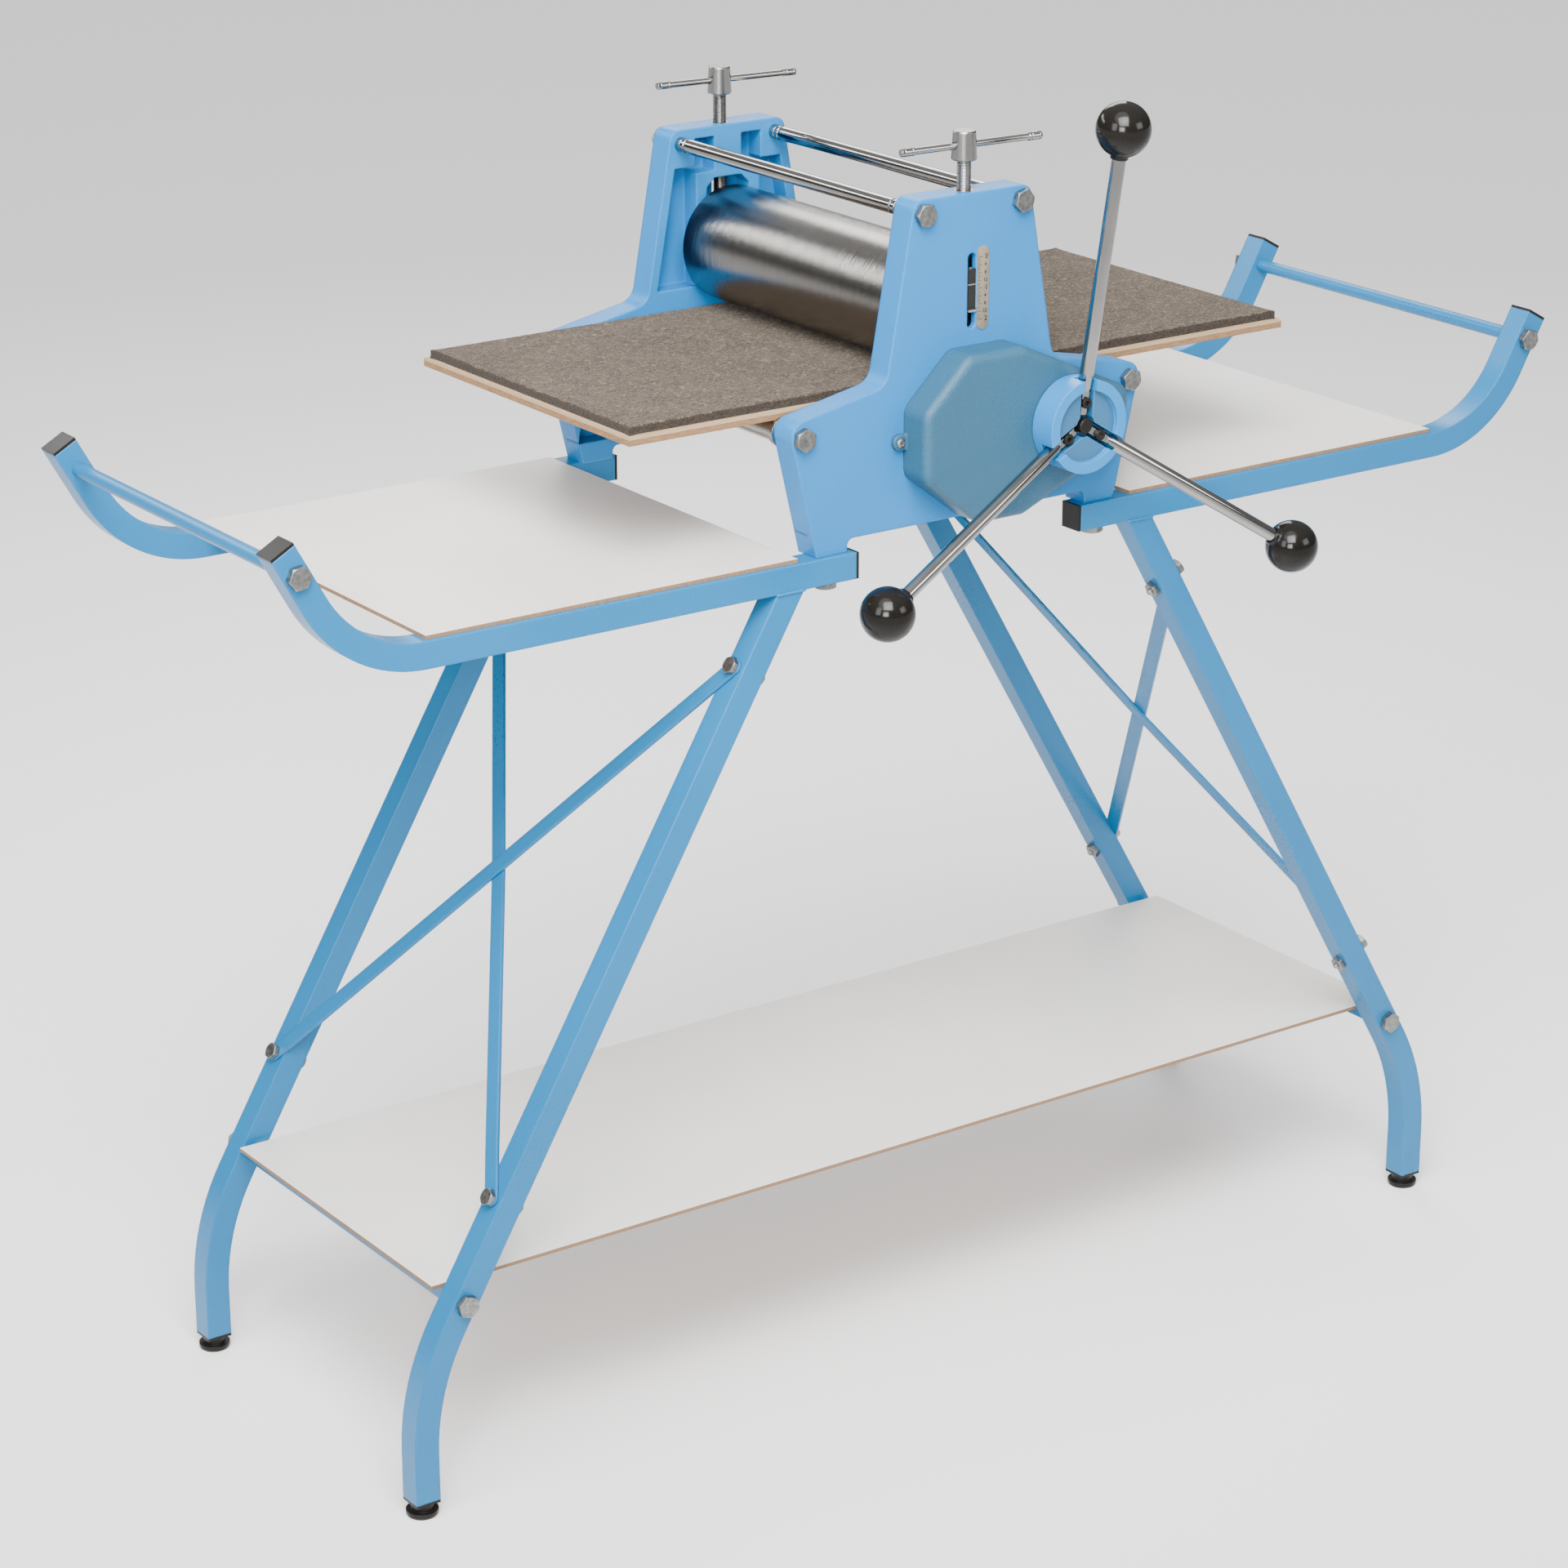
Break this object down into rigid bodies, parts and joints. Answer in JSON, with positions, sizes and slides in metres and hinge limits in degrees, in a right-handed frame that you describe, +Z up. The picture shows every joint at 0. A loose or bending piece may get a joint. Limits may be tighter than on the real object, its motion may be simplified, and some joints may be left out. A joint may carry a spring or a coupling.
{
  "type": "etching press on a tube stand",
  "caption": "Hand-cranked etching press with a felt-covered bed on a light blue tube stand with side boards and a shelf.",
  "frame": {"origin": "on the floor, under the middle of the press", "axes": "+X along the bed's travel, +Z up, the crank on the -Y side"},
  "size_m": [1.2922, 0.4802, 1.0953],
  "materials": {
    "stand_paint": "smooth satin light blue paint on steel tube",
    "cast_blue": "light blue enamel over a lightly pitted casting",
    "cover_blue": "grey-blue enamel over a rough casting",
    "hub_blue": "light blue enamel over a turned casting",
    "black_plastic": "polished black phenolic and plastic",
    "zinc_steel": "dull zinc plate",
    "bright_steel": "bright turned and plated steel",
    "turned_steel": "turned steel with fine circumferential marks",
    "bronze": "machined bronze",
    "black_steel": "black oxide",
    "plate": "satin beige plate with black printed marks",
    "white_board": "hardboard with a smooth off-white face",
    "bed_wood": "dense brown board, sanded",
    "felt": "thick coarse mottled brown felt"
  },
  "bodies": {
    "press": {"brace_bolts": "zinc_steel", "brace_left_bowed": "stand_paint", "brace_left_flat": "stand_paint", "brace_nuts": "zinc_steel", "brace_right_bowed": "stand_paint", "brace_right_flat": "stand_paint", "foot_bolts": "zinc_steel", "frame_bushes": "bronze", "gear_cover": "cover_blue", "gear_cover_screws": "zinc_steel", "handle_bar_left": "stand_paint", "handle_bar_right": "stand_paint", "leg_back_left": "stand_paint", "leg_back_right": "stand_paint", "leg_front_left": "stand_paint", "leg_front_right": "stand_paint", "leg_plugs": "black_plastic", "levelling_feet": "black_plastic", "lower_tie_rods": "bright_steel", "rail_back_left": "stand_paint", "rail_back_right": "stand_paint", "rail_front_left": "stand_paint", "rail_front_right": "stand_paint", "scale_plate": "plate", "screw_nut_bushes": "bronze", "shelf_board": "white_board", "shelf_crossbar_left": "stand_paint", "shelf_crossbar_right": "stand_paint", "side_frame_back": "cast_blue", "side_frame_front": "cast_blue", "stand_bolts": "zinc_steel", "support_roller_collars": "turned_steel", "table_board_left": "white_board", "table_board_right": "white_board", "tie_rod_bolts": "zinc_steel", "tube_end_caps": "black_plastic", "upper_tie_rods": "bright_steel"},
    "crank": {"crank_hub": "hub_blue", "hub_screws": "black_steel", "crank_arms": "bright_steel", "crank_knobs": "black_plastic", "crank_shaft": "turned_steel", "pinion_gear": "turned_steel"},
    "bed": {"bed_board": "bed_wood", "felt_blanket": "felt"},
    "lower_roller_set": {"lower_roller": "turned_steel", "drive_gear": "turned_steel"},
    "carriage": {"bearing_block_front": "turned_steel", "bearing_block_back": "turned_steel", "upper_bushes": "bronze", "pressure_pointer": "black_steel"},
    "upper_roller_set": {"upper_roller": "turned_steel"},
    "support_right": {"support_roller_right": "turned_steel"},
    "support_left": {"support_roller_left": "turned_steel"},
    "screw_front": {"pressure_screw_front": "bright_steel"},
    "screw_back": {"pressure_screw_back": "bright_steel"},
    "bar_front": {"tommy_bar_front": "bright_steel"},
    "bar_back": {"tommy_bar_back": "bright_steel"}
  },
  "joints": [
    {"name": "crank_turn", "type": "hinge", "parent": "press", "child": "crank", "pos_m": [0.07897, -0.23, 0.827], "axis": [0, 1, 0], "range_deg": [-1240, 1460]},
    {"name": "bed_slide", "type": "slide", "parent": "press", "child": "bed", "axis": [1, 0, 0], "range_m": [-0.33098, 0.28111]},
    {"name": "lower_roller_spin", "type": "hinge", "parent": "press", "child": "lower_roller_set", "pos_m": [0, 0, 0.8247], "axis": [0, 1, 0], "range_deg": [-677.28, 575.22]},
    {"name": "carriage_lift", "type": "slide", "parent": "press", "child": "carriage", "axis": [0, 0, 1], "range_m": [0, 0.011]},
    {"name": "upper_roller_spin", "type": "hinge", "parent": "carriage", "child": "upper_roller_set", "pos_m": [0, 0, 0.9178], "axis": [0, 1, 0], "range_deg": [-322.12, 379.28]},
    {"name": "support_right_spin", "type": "hinge", "parent": "press", "child": "support_right", "pos_m": [0.1665, 0, 0.8427], "axis": [0, 1, 0], "range_deg": [-1896.38, 1610.62]},
    {"name": "support_left_spin", "type": "hinge", "parent": "press", "child": "support_left", "pos_m": [-0.1665, 0, 0.8427], "axis": [0, 1, 0], "range_deg": [-1896.38, 1610.62]},
    {"name": "front_screw_turn", "type": "hinge", "parent": "carriage", "child": "screw_front", "pos_m": [0, -0.1725, 1], "axis": [0, 0, 1], "range_deg": [-2, 2267.4]},
    {"name": "back_screw_turn", "type": "hinge", "parent": "carriage", "child": "screw_back", "pos_m": [0, 0.1725, 1], "axis": [0, 0, 1], "range_deg": [-2, 2267.4]},
    {"name": "front_bar_slide", "type": "slide", "parent": "screw_front", "child": "bar_front", "axis": [0.999, -0.0436, 0], "range_m": [-0.051, 0.037]},
    {"name": "back_bar_slide", "type": "slide", "parent": "screw_back", "child": "bar_back", "axis": [0.9966, -0.0819, 0], "range_m": [-0.051, 0.037]}
  ],
  "couplings": [
    {"joint": "bed_slide", "follows": "crank_turn", "m_per_rad": -0.012963},
    {"joint": "lower_roller_spin", "follows": "crank_turn", "ratio": -0.46296},
    {"joint": "upper_roller_spin", "follows": "crank_turn", "ratio": 0.25926},
    {"joint": "support_right_spin", "follows": "crank_turn", "ratio": -1.2963},
    {"joint": "support_left_spin", "follows": "crank_turn", "ratio": -1.2963},
    {"joint": "front_screw_turn", "follows": "carriage_lift", "rad_per_m": 3590.4},
    {"joint": "back_screw_turn", "follows": "carriage_lift", "rad_per_m": 3590.4}
  ]
}
